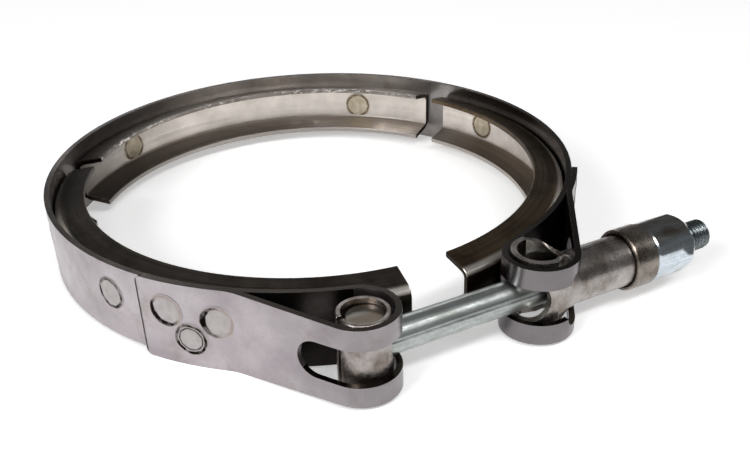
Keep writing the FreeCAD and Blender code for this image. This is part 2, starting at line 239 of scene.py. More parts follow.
lamp("left lamp", (-0.75, -0.30, 0.55), (0.35, 0.35), 4.6)
lamp("strip lamp", (0.05, -0.55, 0.85), (1.1, 0.16), 4.6)
lamp("back lamp", (0.30, 0.80, 0.40), (0.5, 0.12), 0.8)

SKY, SKY_TO_CAMERA = 0.12, 1.0
world = bpy.data.worlds.new("dim grey room")
bpy.context.scene.world = world
world.use_nodes = True
tree = world.node_tree
background = tree.nodes["Background"].inputs
join(tree, "ffffff", background["Color"])
to_camera = add(tree, "ShaderNodeLightPath").outputs["Is Camera Ray"]
join(tree, add(tree, RANGE, to_camera, 0.0, 1.0, SKY, SKY_TO_CAMERA), background["Strength"])
bpy.context.scene.view_settings.view_transform = "Standard"
print(len(bpy.data.lights), "lamps and a sky of strength", SKY)

# %% [markdown]
# ## Places on a metal surface
# Rolling leaves its marks along the strip, so some finishes are drawn on the strip laid flat:
# how far round the ring a point is, how high, and how far from the ring's axis. A first group of
# nodes works that out in millimetres, from the object's own coordinates.
#
# Noise gives nearly every mark. Its values lie mostly between 0.3 and 0.7, so a range that starts
# and ends inside that makes patches, and a narrow one gives them clearer edges.


# %% Coordinates, patches and the end of each finish
def millimetres(tree):
    """Object coordinates in millimetres, as a vector and as separate X, Y and Z."""
    place = add(tree, "ShaderNodeTexCoord").outputs["Object"]
    scaled = add(tree, VECTOR_MATH, place, 1 / MM, operation="SCALE")
    return scaled, add(tree, SPLIT, scaled).outputs


def round_the_ring(tree, parts):
    """Way round the ring, distance from its axis, and a vector of way, height and distance."""
    turn = add(tree, MATH, parts["Y"], parts["X"], operation="ARCTAN2")
    way = add(tree, MATH, turn, BAND_RADIUS / MM, operation="MULTIPLY")
    distance = add(tree, VECTOR_MATH, add(tree, GATHER, parts["X"], parts["Y"]), operation="LENGTH")
    return way, distance, add(tree, GATHER, way, parts["Z"], distance)


def patches(tree, vector, size, detail=3.0, rough=0.5):
    """Noise in patches of about size millimetres: one number, or one for each direction."""
    sizes = size if isinstance(size, tuple) else (size, size, size)
    mapped = add(tree, "ShaderNodeMapping", vector, Scale=[1 / value for value in sizes])
    return add(tree, "ShaderNodeTexNoise", mapped, Scale=1.0, Detail=detail, Roughness=rough)


def dress(tree, shader, colour, roughness, height, depth, strength=0.5):
    """Give a shader its colour, its roughness and a relief of about depth millimetres."""
    join(tree, colour, shader.inputs["Base Color"])
    join(tree, roughness, shader.inputs["Roughness"])
    bump = add(tree, "ShaderNodeBump", Height=height, Strength=strength, Distance=depth * MM)
    join(tree, bump, shader.inputs["Normal"])


print("once round the band is", round(2 * math.pi * BAND_RADIUS / MM), "mm")

# %% [markdown]
# ## Band
# The band is cold-rolled stainless strip in its mill finish: satin, almost without lines, with a
# very fine orange peel and faint clouds where oil and handling have left their traces. To the eye
# it is a soft grey that spreads every reflection. Noise at three sizes gives all of that. The
# real peel is too fine to show, about 0.05 mm, so it is drawn as coarse as 0.45 mm.
#
# Bending has made the loops smoother. The loops also get painted shade, more to the right and low
# down, and a line of painted shade lies along each tab's cut end. Sheared edges are rougher and
# painted much darker than the faces as shade, the pockets between the tabs and the ring are painted
# dark as shade, and the band's inside gets painted shade towards the front. All of these are kinds
# of the same finish.


# %% Where the strip gets painted shade: the loops, the cut ends and the inside
# Each pair says where a mark starts and where it is full, in millimetres: along Y, along Y, along
# X and along Z from the ring's centre, then from the cut, and from the ring's axis.
LOOPS = (-52.0, -64.0)
FRONT_OF_INSIDE = (34.0, -8.0)
SHADE_TO_THE_RIGHT = (-40.0, 14.0)
LOW_DOWN = (0.0, -4.0)
CUT_WIDTH = (0.55, 0.3)
JUST_OUTSIDE = (60.3, 60.5)
TAB_END_ANGLES = (180 - 32.5, 37.4)
TAB_ENDS = [math.radians(angle) * BAND_RADIUS / MM for angle in TAB_END_ANGLES]


def shade_and_polish_share(tree, parts, shade_range, left_share):
    """How much painted shade, and polish from bending, a place gets: more in its range along Y, to the
    right and low down.
    """
    in_y_range = add(tree, RANGE, parts["Y"], *shade_range, 0.0, 0.8)
    to_the_right = add(tree, RANGE, parts["X"], *SHADE_TO_THE_RIGHT, left_share, 1.0)
    low = add(tree, RANGE, parts["Z"], *LOW_DOWN, 0.0, 0.25)
    share = add(tree, MATH, to_the_right, low, operation="ADD", use_clamp=True)
    return add(tree, MATH, in_y_range, share, operation="MULTIPLY")


def cut_line(tree, way, distance):
    """A line of painted shade, half a millimetre to each side, along the tabs' cut ends on the band's
    outside.
    """
    along = add(tree, MATH, way, operation="ABSOLUTE")
    gaps = []
    for end in TAB_ENDS:
        off_end = add(tree, MATH, along, end, operation="SUBTRACT")
        gaps.append(add(tree, MATH, off_end, operation="ABSOLUTE"))
    near = add(tree, RANGE, add(tree, MATH, *gaps, operation="MINIMUM"), *CUT_WIDTH)
    outside = add(tree, RANGE, distance, *JUST_OUTSIDE)
    return add(tree, MATH, near, outside, operation="MULTIPLY")


print("tabs end", *(round(end, 1) for end in TAB_ENDS), "mm round the ring")


# %% Satin strip
POLISHED = 0.18


def satin_strip(name, light, dark, stain, shade_tone, shade_range, left_share, rough):
    """Cold-rolled strip: clouds, a fine peel, warm stains, a smoother part with painted shade, and a
    painted shade line at the tabs' cut ends.
    """
    material, tree, shader = new_material(name, Metallic=1.0)
    place, parts = millimetres(tree)
    way, distance, _ = round_the_ring(tree, parts)
    clouds = patches(tree, place, 11.0, 4.0, 0.55)
    peel = patches(tree, place, 0.45, 2.0)
    stains = patches(tree, place, 6.0, 5.0, 0.6)
    # Painted shade, with a smoother finish, at the loops or the front of the inside, more to the right
    # and low down.
    shade_and_polish = shade_and_polish_share(tree, parts, shade_range, left_share)
    # Painted shade in 241d1a along the tabs' cut ends, in the crease between tab and band, broken up by
    # the stains.
    painted_shade = add(tree, MATH, cut_line(tree, way, distance), add(tree, RANGE, stains, 0.35, 0.55, 0.3, 0.9),
              operation="MULTIPLY")
    colour = light
    for share, tone in ((add(tree, RANGE, clouds, 0.35, 0.68), dark),
                        (add(tree, RANGE, peel, 0.35, 0.75, 0.0, 0.35), dark),
                        (add(tree, RANGE, stains, 0.56, 0.72, 0.0, 0.4), stain),
                        (shade_and_polish, shade_tone), (painted_shade, "241d1a")):
        colour = add(tree, MIX, share, colour, tone, data_type="RGBA")
    roughness = add(tree, RANGE, clouds, 0.3, 0.7, *rough)
    polished = add(tree, MATH, shade_and_polish, POLISHED - sum(rough) / 2, roughness, operation="MULTIPLY_ADD")
    dress(tree, shader, colour, polished, peel, 0.015)
    return material


strip_finish = satin_strip("satin stainless strip", "c6bfc2", "a69ea2", "8d7f74", "6c696a", LOOPS,
                           0.2, (0.28, 0.40))
# Sheared edges are rougher; their near-black colour is painted shade for rims that face the dim sky.
edge_finish = satin_strip("sheared strip edge with painted shade", "403831", "221c18", "2a211a", "3d3731", LOOPS,
                          0.2, (0.22, 0.36))
# Painted shade: the faces in the pockets behind the tabs are dark all over.
pocket_finish = satin_strip("painted shade behind the tabs", "45403e", "2b2726", "241f1c", "302c2b", LOOPS,
                            1.0, (0.34, 0.46))
# The band's inside, with painted shade that grows towards the front.
inside_finish = satin_strip("inside of the strip with painted shade", "b8b3b0", "928d8a", "6a5f56", "2c2724",
                            FRONT_OF_INSIDE, 1.0, (0.30, 0.42))
print(strip_finish.name, edge_finish.name, pocket_finish.name, inside_finish.name, sep=", ")

# %% [markdown]
# ## V channels
# The channels are roll formed from the same steel, but the rolls have burnished the legs into
# bands that run round the ring, and left them darker and browner than the web between them. To
# the eye they are brown grey stripes, shinier where they are lighter. A noise stretched along the
# ring makes the bands, and the distance from the axis says what is leg and what is web. The
# bands are about 0.9 mm apart, coarser than the real lines, so that they show.
#
# The tips of the rear channel's upper leg get a painted highlight in short dashes, and the rear
# left of the ring's inside gets painted shade. On the side channels, the web and the lower leg are
# painted lighter where they lie in shadow.


# %% Burnished channel
# Pairs of places in millimetres: the leg's and the web's borders are distances from the axis.
LEG_TO_WEB = (56.9, 57.5)
WEB_TO_BACK = (58.3, 58.5)
LEG_TIP = (52.8, 52.2)
TOP_OF_TIP = (3.9, 4.4)
BELOW_MIDDLE = (0.5, -0.5)
SHADE_TO_THE_LEFT, SHADE_TO_THE_REAR = (-12.0, -54.0), (0.0, 12.0)


def painted_shade_on_the_left(tree, parts, colour):
    """Paint shade on the rear left of the ring's inside."""
    leftwards = add(tree, RANGE, parts["X"], *SHADE_TO_THE_LEFT, 0.0, 0.8)
    rearwards = add(tree, RANGE, parts["Y"], *SHADE_TO_THE_REAR)
    share = add(tree, MATH, leftwards, rearwards, operation="MULTIPLY")
    return add(tree, MIX, share, colour, "453e39", data_type="RGBA")


def painted_tip_highlights(tree, parts, distance, unrolled, tip_highlight_strength):
    """How strong the painted highlight on the top leg's tip is, in short dashes that come and go round
    the ring.
    """
    share = tip_highlight_strength
    for part in (add(tree, RANGE, distance, *LEG_TIP),
                 add(tree, RANGE, parts["Z"], *TOP_OF_TIP),
                 add(tree, RANGE, patches(tree, unrolled, (1.6, 0.5, 0.5), 4.0, 0.7), 0.54, 0.60),
                 add(tree, RANGE, patches(tree, unrolled, (14.0, 20.0, 20.0), 1.0), 0.4, 0.55)):
        share = add(tree, MATH, share, part, operation="MULTIPLY")
    return share


def burnished_channel(name, leg_light, leg_dark, leg_stain, low_light, low_dark, web_light, web_dark,
                      tip_highlight_strength=0.0):
    """Roll formed channel: banded dark legs, paler below mid-height, and a paler web."""
    material, tree, shader = new_material(name, Metallic=1.0)
    place, parts = millimetres(tree)
    _, distance, unrolled = round_the_ring(tree, parts)
    bands = patches(tree, unrolled, (60.0, 0.9, 0.6), 3.0, 0.6)
    clouds = patches(tree, place, 8.0, 4.0, 0.6)
    low_leg = add(tree, MIX, add(tree, RANGE, bands, 0.25, 0.8), low_dark, low_light, data_type="RGBA")
    web = add(tree, MIX, add(tree, RANGE, clouds, 0.35, 0.7), web_light, web_dark, data_type="RGBA")
    colour = leg_dark
    for share, tone in ((add(tree, RANGE, bands, 0.3, 0.72), leg_light),
                        (add(tree, RANGE, clouds, 0.45, 0.7, 0.0, 0.7), leg_stain),
                        (add(tree, RANGE, parts["Z"], *BELOW_MIDDLE), low_leg),
                        (add(tree, RANGE, distance, *LEG_TO_WEB), web),
                        (add(tree, RANGE, distance, *WEB_TO_BACK), leg_stain)):
        colour = add(tree, MIX, share, colour, tone, data_type="RGBA")
    # Painted shade on the rear left of the ring's inside.
    colour = painted_shade_on_the_left(tree, parts, colour)
    # A painted highlight in e2ddd8 along the tip of the top leg.
    if tip_highlight_strength:
        tip_highlights = painted_tip_highlights(tree, parts, distance, unrolled, tip_highlight_strength)
        colour = add(tree, MIX, tip_highlights, colour, "e2ddd8", data_type="RGBA")
    dress(tree, shader, colour, add(tree, RANGE, bands, 0.3, 0.7, 0.42, 0.26), bands, 0.012, 0.3)
    return material


# Lower-leg and web tones of the side channels, painted lighter as light where those faces lie in shadow.
SIDE_LOW_AND_WEB_PAINTED_LIGHTER = ("d2cbc5", "9f9790", "fbf4ec", "d8cfc6")
rear_channel_finish = burnished_channel("roll formed channel", "a8a19b", "827b75", "6a6057", "c4beb9",
                                        "948d87", "f0e8e0", "d2cac1", 1.0)
left_channel_finish = burnished_channel("dull grey channel", "857d74", "46403a", "302b27",
                                        *SIDE_LOW_AND_WEB_PAINTED_LIGHTER)
right_channel_finish = burnished_channel("oil stained channel", "8f7c63", "4e4237", "2f251d",
                                         *SIDE_LOW_AND_WEB_PAINTED_LIGHTER)
print(rear_channel_finish.name, left_channel_finish.name, right_channel_finish.name, sep=", ")

# %% [markdown]
# ## Trunnions
# The sleeve, the folded trunnion and the collar are pressed from thicker sheet. Bending has
# polished some places and left others dull, and a brown tint from heat and oil lies on top. The
# grain is coarser than on the strip, so the noise is larger and the stain stronger, and the eye
# sees a restless grey with warm shadows. Real grain is finer: it is drawn at 0.5 mm so as to show.


# %% Pressed sheet
def pressed_sheet(name, light, dark, tint, rough):
    """Bent steel sheet with dull and polished places, worn streaks and a warm tint in patches."""
    material, tree, shader = new_material(name, Metallic=1.0)
    place, _ = millimetres(tree)
    clouds = patches(tree, place, 5.0, 4.0, 0.6)
    streaks = patches(tree, place, (7.0, 0.9, 0.9), 3.0)
    grain = patches(tree, place, 0.5, 3.0, 0.6)
    colour = light
    for share, tone in ((add(tree, RANGE, clouds, 0.35, 0.65), dark),
                        (add(tree, RANGE, streaks, 0.55, 0.75, 0.0, 0.45), dark),
                        (add(tree, RANGE, clouds, 0.5, 0.68, 0.0, 0.5), tint)):
        colour = add(tree, MIX, share, colour, tone, data_type="RGBA")
    dress(tree, shader, colour, add(tree, RANGE, grain, 0.3, 0.7, *rough), grain, 0.02)
    return material


sleeve_finish = pressed_sheet("rolled steel sleeve", "bcb4b0", "877f7a", "6a5a4b", (0.24, 0.40))
saddle_finish = pressed_sheet("folded steel sheet", "bcb6b2", "918a85", "75695c", (0.24, 0.38))
# Painted shade: the inside of the fold, where the bolt runs, is dark all over.
fold_inside_finish = pressed_sheet("painted shade inside the fold", "5c544d", "38322d", "2c251f", (0.34, 0.48))
collar_finish = pressed_sheet("drawn steel cap", "a39b93", "756d65", "625446", (0.22, 0.36))
print(sleeve_finish.name, saddle_finish.name, fold_inside_finish.name, collar_finish.name, sep=", ")

# %% [markdown]
# ## Bolt and nut
# Both are zinc plated. Zinc grows as small crystals, so it looks mottled and a little blue, with
# grey-green patches where it has begun to dull. The bolt has long drawing lines under the zinc,
# a thin seam along its shank, and patches of painted shade on its head, far above and below its
# axis. The nut is newer and brighter, with sharper reflections, and painted shade on its top and
# bottom. The real crystals and lines are far too fine to show, so the crystals are drawn about
# half a millimetre across and the lines a third of a millimetre apart.


# %% Zinc plate
NO_SEAM = 90.0
CRYSTAL_LENGTH = 2.5
LINE = (25.0, 0.35, 0.35)


def zinc_plate(name, light, dark, dull, rough, crystal, painted_shade, painted_shade_height, seam_height=NO_SEAM):
    """Zinc plating with crystals about crystal millimetres across, with painted shade far off mid-height.
    """
    material, tree, shader = new_material(name, Metallic=1.0)
    place, parts = millimetres(tree)
    mottle = patches(tree, place, (crystal * CRYSTAL_LENGTH, crystal, crystal), 3.0, 0.6)
    dulling = patches(tree, place, (7.0, 3.0, 3.0), 3.0)
    lines = patches(tree, place, LINE, 2.0)
    off_middle = add(tree, MATH, parts["Z"], operation="ABSOLUTE")
    painted_shade_share = add(tree, MATH, add(tree, RANGE, off_middle, *painted_shade_height),
                    add(tree, RANGE, dulling, 0.4, 0.6, 0.6, 1.0), operation="MULTIPLY")
    above_seam = add(tree, MATH, parts["Z"], seam_height, operation="SUBTRACT")
    off_seam = add(tree, MATH, above_seam, operation="ABSOLUTE")
    seam = add(tree, MATH, add(tree, RANGE, off_seam, 0.3, 0.08, 0.0, 0.8),
               add(tree, RANGE, dulling, 0.3, 0.5, 0.3, 1.0), operation="MULTIPLY")
    colour = light
    for share, tone in ((add(tree, RANGE, mottle, 0.3, 0.7), dark),
                        (add(tree, RANGE, dulling, 0.45, 0.7, 0.0, 0.6), dull),
                        (add(tree, RANGE, lines, 0.5, 0.68, 0.0, 0.6), dull),
                        (painted_shade_share, painted_shade), (seam, "4c5050")):
        colour = add(tree, MIX, share, colour, tone, data_type="RGBA")
    dress(tree, shader, colour, add(tree, RANGE, mottle, 0.3, 0.7, *rough), mottle, 0.005)
    return material


# The colour and heights after the crystal size paint shade on the bolt's head and on the nut's top and
# bottom.
bolt_finish = zinc_plate("dull zinc plate", "cdd2d1", "adb3b2", "878b82", (0.34, 0.44), 0.45,
                         "857a6c", (4.4, 5.0), seam_height=0.85)
thread_finish = zinc_plate("zinc plate in the thread", "8b9294", "596063", "5f615b", (0.22, 0.34), 0.45,
                           "5f615b", (4.0, 5.0))
nut_finish = zinc_plate("bright zinc plate", "eef5fb", "c3d0dc", "b0baba", (0.10, 0.20), 0.5,
                        "7d7468", (3.6, 5.2))
print(bolt_finish.name, thread_finish.name, nut_finish.name, sep=", ")

# %% [markdown]
# ## Clean copies of the solids
# The loaded solids are loose triangles. Each visible piece is a merged copy with smooth faces and
# softly broken edges, because real sheet has rounded rims and those rims catch the light. On the
# bolt, the copy is thinned to the thread's root where the thread will be. Faces that were cut, or
# that lie in pockets and hollows, get the second, third or fourth finish of their piece, which
# paints shade on them.

# %% Thread sizes
PITCH = 25.4 / 28 * MM
THREAD_START = 33.0 * MM
CREST = 3.175 * MM
ROOT = CREST - 0.55 * PITCH
SHANK = 3.25 * MM
bolt_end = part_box("t_bolt")[1][0]
print("thread from", round(THREAD_START / MM, 1), "to", round(bolt_end / MM, 1), "mm")


# %% Cut ends, the fold's inside and the thread's root
# The last three are shares of a face's normal that point one way.
BARREL_START = 9 * MM
INSIDE_HALF_HEIGHT = 5.6 * MM
HAIR = 0.01 * MM
SQUARE_ON, STEEP, SLIGHT = 0.9, 0.7, 0.3


def mark_cut_ends(shape):
    """Give a channel's two sawn ends the finish of a cut edge."""
    marked = 0
    for face in shape.faces:
        centre = face.calc_center_median()
        along = Vector((-centre.y, centre.x, 0)).normalized()
        if abs(face.normal.dot(along)) > SQUARE_ON:
            face.material_index = 1
            marked += 1
    print(marked, "cut faces")


def mark_fold_inside(shape):
    """Give the sheet inside the folded trunnion, where the bolt runs, its finish of painted shade."""
    marked = 0
    fold_x = joint_places["trunnion_swivel"].x
    for face in shape.faces:
        centre = face.calc_center_median()
        if centre.x > fold_x + BARREL_START:
            outwards = Vector((0, centre.y - bolt_y, centre.z))
        else:
            outwards = Vector((centre.x - fold_x, centre.y - bolt_y, 0))
        if abs(centre.z) < INSIDE_HALF_HEIGHT and face.normal.dot(outwards.normalized()) < -SLIGHT:
            face.material_index = 1
            marked += 1
    print(marked, "faces inside the folded trunnion")


def thin_to_root(shape):
    """Bring the threaded end of the bolt down to the root of its thread."""
    moved = 0
    for vertex in shape.verts:
        arm = Vector((0, vertex.co.y - bolt_y, vertex.co.z))
        if vertex.co.x > THREAD_START - HAIR and ROOT < arm.length < (CREST + SHANK) / 2:
            vertex.co = Vector((vertex.co.x, bolt_y, 0)) + arm.normalized() * ROOT
            moved += 1
    print("thinned", moved, "points to the root of the thread")


print("root at", round(ROOT / MM, 2), "mm and crest at", round(CREST / MM, 2), "mm from the bolt's axis")


# %% The band's edges, pockets and inside
# Slots of the band's materials, and angles in degrees from the middle of the opening.
EDGE, POCKET, INSIDE = 1, 2, 3
POCKET_ANGLES = (18, 41)
TAB_INNER_FROM = 24
TAB_END_FROM = 50
TOUCHING = 0.1 * MM


def mark_edges(shape):
    """Give the band's sheared edges, the pockets behind its tabs and its inside their finishes."""
    marked = {EDGE: 0, POCKET: 0, INSIDE: 0}
    for face in shape.faces:
        centre = face.calc_center_median()
        outwards = Vector((centre.x, centre.y, 0))
        radius = outwards.length
        facing = face.normal.dot(outwards.normalized())
        opening_angle = math.degrees(math.atan2(abs(centre.x), -centre.y))
        is_rim = abs(face.normal.z) > STEEP
        on_tab = BAND_RADIUS < radius < BAND_RADIUS + STRIP
        is_tab_end = abs(facing) < SLIGHT and on_tab and opening_angle > TAB_END_FROM
        behind_tab = POCKET_ANGLES[0] < opening_angle < POCKET_ANGLES[1]
        under = abs(radius - BAND_RADIUS) < TOUCHING and facing > SQUARE_ON
        inner = radius > BAND_RADIUS + TOUCHING and facing < -SLIGHT and opening_angle > TAB_INNER_FROM
        # Rims and tab ends take the edge finish with its painted shade; the pockets and the inside take
        # their finishes of painted shade.
        if is_rim or is_tab_end:
            kind = EDGE
        elif behind_tab and (under or inner):
            kind = POCKET
        elif facing < -SQUARE_ON and radius < BAND_RADIUS:
            kind = INSIDE
        else:
            continue
        face.material_index = kind
        marked[kind] += 1
    print(marked[EDGE], "edge,", marked[POCKET], "pocket and", marked[INSIDE], "inside faces on the band")


print("pockets lie", *POCKET_ANGLES, "degrees from the opening")


# %% Merge, smooth and soften
MERGE = 0.001 * MM
FLAT_ANGLE, SHARP_ANGLE, BEVEL_ANGLE = math.radians(0.3), math.radians(32), math.radians(40)


def clean_copy(node, finish, edge_round, change=None, others=()):
    """A merged, smooth-shaded copy of a solid with softened edges, which stands for it."""
    mesh = frame["nodes"][node].data.copy()
    piece = bpy.data.objects.new(node + "_finished", mesh)
    bpy.context.scene.collection.objects.link(piece)
    mesh.materials.clear()
    for kind in (finish, *others):
        mesh.materials.append(kind)
    shape = bmesh.new()
    shape.from_mesh(mesh)
    bmesh.ops.remove_doubles(shape, verts=shape.verts, dist=MERGE)
    for face in shape.faces:
        face.material_index = 0
    if change:
        change(shape)
    bmesh.ops.dissolve_limit(shape, angle_limit=FLAT_ANGLE, verts=shape.verts, edges=shape.edges,
                             delimit={"MATERIAL"})
    for edge in shape.edges:
        edge.smooth = len(edge.link_faces) == 2 and edge.calc_face_angle(0) < SHARP_ANGLE
    for face in shape.faces:
        face.smooth = True
    shape.to_mesh(mesh)
    shape.free()
    bevel = piece.modifiers.new("soft edges", "BEVEL")
    bevel.width = edge_round * MM
    bevel.segments = 3
    bevel.limit_method = "ANGLE"
    bevel.angle_limit = BEVEL_ANGLE
    bevel.harden_normals = True
    # Every softened edge of the band takes the edge finish, so each edge is outlined in painted shade.
    if node == "band":
        bevel.material = EDGE
    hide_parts(node)
    return piece


print("edges sharper than", round(math.degrees(BEVEL_ANGLE)), "degrees are softened")

# %% Every solid with its finish
finishes = {
    "band": (strip_finish, 0.28, mark_edges, (edge_finish, pocket_finish, inside_finish)),
    "retainer_left": (left_channel_finish, 0.22, mark_cut_ends, (edge_finish,)),
    "retainer_rear": (rear_channel_finish, 0.22, mark_cut_ends, (edge_finish,)),
    "retainer_right": (right_channel_finish, 0.22, mark_cut_ends, (edge_finish,)),
    "bolt_sleeve": (sleeve_finish, 0.12),
    "t_bolt": (bolt_finish, 0.15, thin_to_root),
    "saddle_trunnion": (saddle_finish, 0.25, mark_fold_inside, (fold_inside_finish,)),
    "collar_ring": (collar_finish, 0.12),
    "lock_nut": (nut_finish, 0.15),
}
for body, nodes in record["behaviour"]["bodies"].items():
    for node in nodes:
        piece = clean_copy(node, *finishes[node])
        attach(piece, body)
        print(piece.name, len(piece.data.polygons), "faces, rides on", body)

# %% [markdown]
# ## Thread
# The bolt has a fine right-hand thread of 28 turns to the inch. A thread is one profile that
# follows a helix, so Geometry Nodes suit it: a flat grid is wrapped round the bolt so that its
# rows climb one pitch in each turn, and the place of a row within its pitch gives the radius.


# %% Trees and plain meshes
def new_tree(name, inputs):
    """A geometry tree with named inputs for its sizes, and those inputs as seen inside it."""
    tree = bpy.data.node_groups.new(name, "GeometryNodeTree")
    tree.interface.new_socket("Geometry", in_out="INPUT", socket_type="NodeSocketGeometry")
    for label, value in inputs.items():
        socket = tree.interface.new_socket(label, in_out="INPUT", socket_type="NodeSocketFloat")
        socket.default_value = value
    tree.interface.new_socket("Geometry", in_out="OUTPUT", socket_type="NodeSocketGeometry")
    return tree, add(tree, "NodeGroupInput").outputs


def plain_mesh(name, tree, source, sizes, finish):
    """Run a tree on a mesh with its sizes set, and keep the result as a plain mesh object."""
    maker = bpy.data.objects.new(name + "_maker", source)
    bpy.context.scene.collection.objects.link(maker)
    modifier = maker.modifiers.new("maker", "NODES")
    modifier.node_group = tree
    for item in tree.interface.items_tree:
        if item.item_type == "SOCKET" and item.in_out == "INPUT" and item.name in sizes:
            modifier[item.identifier] = sizes[item.name]
    depsgraph = bpy.context.evaluated_depsgraph_get()
    mesh = bpy.data.meshes.new_from_object(maker.evaluated_get(depsgraph), depsgraph=depsgraph)
    bpy.data.objects.remove(maker)
    mesh.name = name
    for face in mesh.polygons:
        face.use_smooth = True
    piece = bpy.data.objects.new(name, mesh)
    bpy.context.scene.collection.objects.link(piece)
    if not mesh.materials:
        mesh.materials.append(finish)
    print(name, len(mesh.polygons), "faces")
    return piece


thread_inputs = {"Pitch": PITCH, "Root": ROOT, "Crest": CREST, "Start": THREAD_START, "End": bolt_end,
                 "Chamfer": 0.5 * MM, "Axis Y": bolt_y}
tree, given = new_tree("helical thread", thread_inputs)
print(tree.name, "has", len(thread_inputs), "sizes")

# %% How far along and how far out each point of the grid goes
ROWS_IN_PITCH = 10
STEPS_ROUND = 48
HALF_ROOT_FLAT, FLANK = 0.08, 0.34
pitches = math.ceil((bolt_end - THREAD_START) / PITCH) + 1
grid = add(tree, "GeometryNodeMeshGrid", Size_X=1.0, Size_Y=1.0, Vertices_X=pitches * ROWS_IN_PITCH + 1,
           Vertices_Y=STEPS_ROUND + 1)
corner = add(tree, SPLIT, add(tree, "GeometryNodeInputPosition")).outputs
along = add(tree, MATH, corner["X"], 0.5, operation="ADD")
turned = add(tree, MATH, corner["Y"], 0.5, operation="ADD")
row = add(tree, MATH, along, pitches, operation="MULTIPLY")
climbed = add(tree, MATH, row, add(tree, MATH, turned, 1.0, operation="SUBTRACT"), operation="ADD")
free_x = add(tree, MATH, add(tree, MATH, climbed, given["Pitch"], operation="MULTIPLY"), given["Start"],
             operation="ADD")
after_start = add(tree, MATH, free_x, given["Start"], operation="MAXIMUM")
x = add(tree, MATH, after_start, given["End"], operation="MINIMUM")

tooth = add(tree, MATH, row, 0.5, operation="PINGPONG")
past_flat = add(tree, MATH, tooth, HALF_ROOT_FLAT, operation="SUBTRACT")
flank = add(tree, MATH, past_flat, 1 / FLANK, operation="MULTIPLY")
share = add(tree, MATH, add(tree, MATH, flank, 0.0, operation="MAXIMUM"), 1.0, operation="MINIMUM")
has_started = add(tree, MATH, free_x, given["Start"], operation="GREATER_THAN")
share = add(tree, MATH, share, has_started, operation="MULTIPLY")
depth = add(tree, MATH, given["Crest"], given["Root"], operation="SUBTRACT")
out = add(tree, MATH, given["Root"], add(tree, MATH, share, depth, operation="MULTIPLY"), operation="ADD")
cone_start = add(tree, MATH, given["End"], given["Chamfer"], operation="SUBTRACT")
past_cone = add(tree, MATH, x, cone_start, operation="SUBTRACT")
cut_back = add(tree, MATH, past_cone, 0.0, operation="MAXIMUM")
limit = add(tree, MATH, given["Crest"], cut_back, operation="SUBTRACT")
radius = add(tree, MATH, out, limit, operation="MINIMUM")
print(pitches, "turns of", ROWS_IN_PITCH, "rows")

# %% The grid wrapped round the bolt
SEAM_GAP = 0.002 * MM
angle = add(tree, MATH, turned, 2 * math.pi, operation="MULTIPLY")
y = add(tree, MATH, radius, add(tree, MATH, angle, operation="COSINE"), operation="MULTIPLY")
z = add(tree, MATH, radius, add(tree, MATH, angle, operation="SINE"), operation="MULTIPLY")
target = add(tree, GATHER, x, add(tree, MATH, y, given["Axis Y"], operation="ADD"), z)
wrapped = add(tree, "GeometryNodeSetPosition", grid, Position=target)
closed = add(tree, "GeometryNodeMergeByDistance", wrapped, Distance=SEAM_GAP)
turned_out = add(tree, "GeometryNodeFlipFaces", closed)
real = add(tree, "GeometryNodeRealizeInstances", turned_out)
painted = add(tree, "GeometryNodeSetMaterial", real, Material=thread_finish)
add(tree, "NodeGroupOutput", painted)
thread = plain_mesh("bolt_thread", tree, bpy.data.meshes.new("empty"), thread_inputs, thread_finish)
outwards = sum(Vector((0, face.center.y - bolt_y, face.center.z)).dot(face.normal) > 0
               for face in thread.data.polygons)
print(outwards, "of", len(thread.data.polygons), "faces look outwards")
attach(thread, "bolt")

# %% [markdown]
# ## Spot welds
# The channels and the tabs are spot welded to the band. An electrode leaves a shallow round dish
# with a burnt rim. All the marks are alike and lie on curved steel, so one disc is instanced at
# each weld and then wrapped on its cylinder. A number kept on every point, from 0 in the middle to
# 1 at the rim, shapes the dish and colours the burnt ring.
#
# To the eye a weld is a dull disc, a dark broken ring and a warm halo, and the ring is thickest
# on the side that the electrode leaned to. Two of the welds were struck twice and have a second,
# smaller ring. Inside the channels the marks are only a warm stain, with the same painted shade on
# the rear left as the channels.


# %% Burnt rings
ATTRIBUTE = "ShaderNodeAttribute"


def burnt_ring(tree, reach):
    """How burnt the outer ring is: wider and darker on the side that the electrode leaned to."""
    spot = add(tree, ATTRIBUTE, attribute_name="spot").outputs["Vector"]
    lean = add(tree, ATTRIBUTE, attribute_name="lean").outputs["Vector"]
    whole = add(tree, ATTRIBUTE, attribute_name="whole").outputs["Fac"]
    leaned = add(tree, VECTOR_MATH, spot, lean, operation="DOT_PRODUCT")
    wider = add(tree, RANGE, leaned, 0.3, 1.0, 0.0, 0.16)
    ring_in = add(tree, RANGE, add(tree, MATH, reach, wider, operation="ADD"), 0.73, 0.79)
    ring_out = add(tree, RANGE, reach, 0.97, 0.90)
    ring = add(tree, MATH, ring_in, ring_out, operation="MULTIPLY")
    darker = add(tree, RANGE, leaned, -0.25, 0.35, 0.12, 1.0)
    pressed = add(tree, MATH, darker, whole, operation="MAXIMUM")
    return add(tree, MATH, ring, pressed, operation="MULTIPLY")


def second_ring(tree, reach):
    """How burnt the smaller ring is, on a weld that was struck twice."""
    twice = add(tree, ATTRIBUTE, attribute_name="twice").outputs["Fac"]
    ring = add(tree, MATH, add(tree, RANGE, reach, 0.58, 0.64), add(tree, RANGE, reach, 0.72, 0.67),
               operation="MULTIPLY")
    return add(tree, MATH, ring, twice, operation="MULTIPLY")


def warm_halo(tree, reach, patchy):
    """How much heat has tinted the steel round the ring."""
    inside = add(tree, MATH, add(tree, RANGE, reach, 1.0, 0.9), patchy, operation="MULTIPLY")
    return add(tree, MATH, inside, add(tree, RANGE, reach, 0.72, 0.86, 0.0, 0.5), operation="MULTIPLY")


print("a weld has up to two rings and a halo")


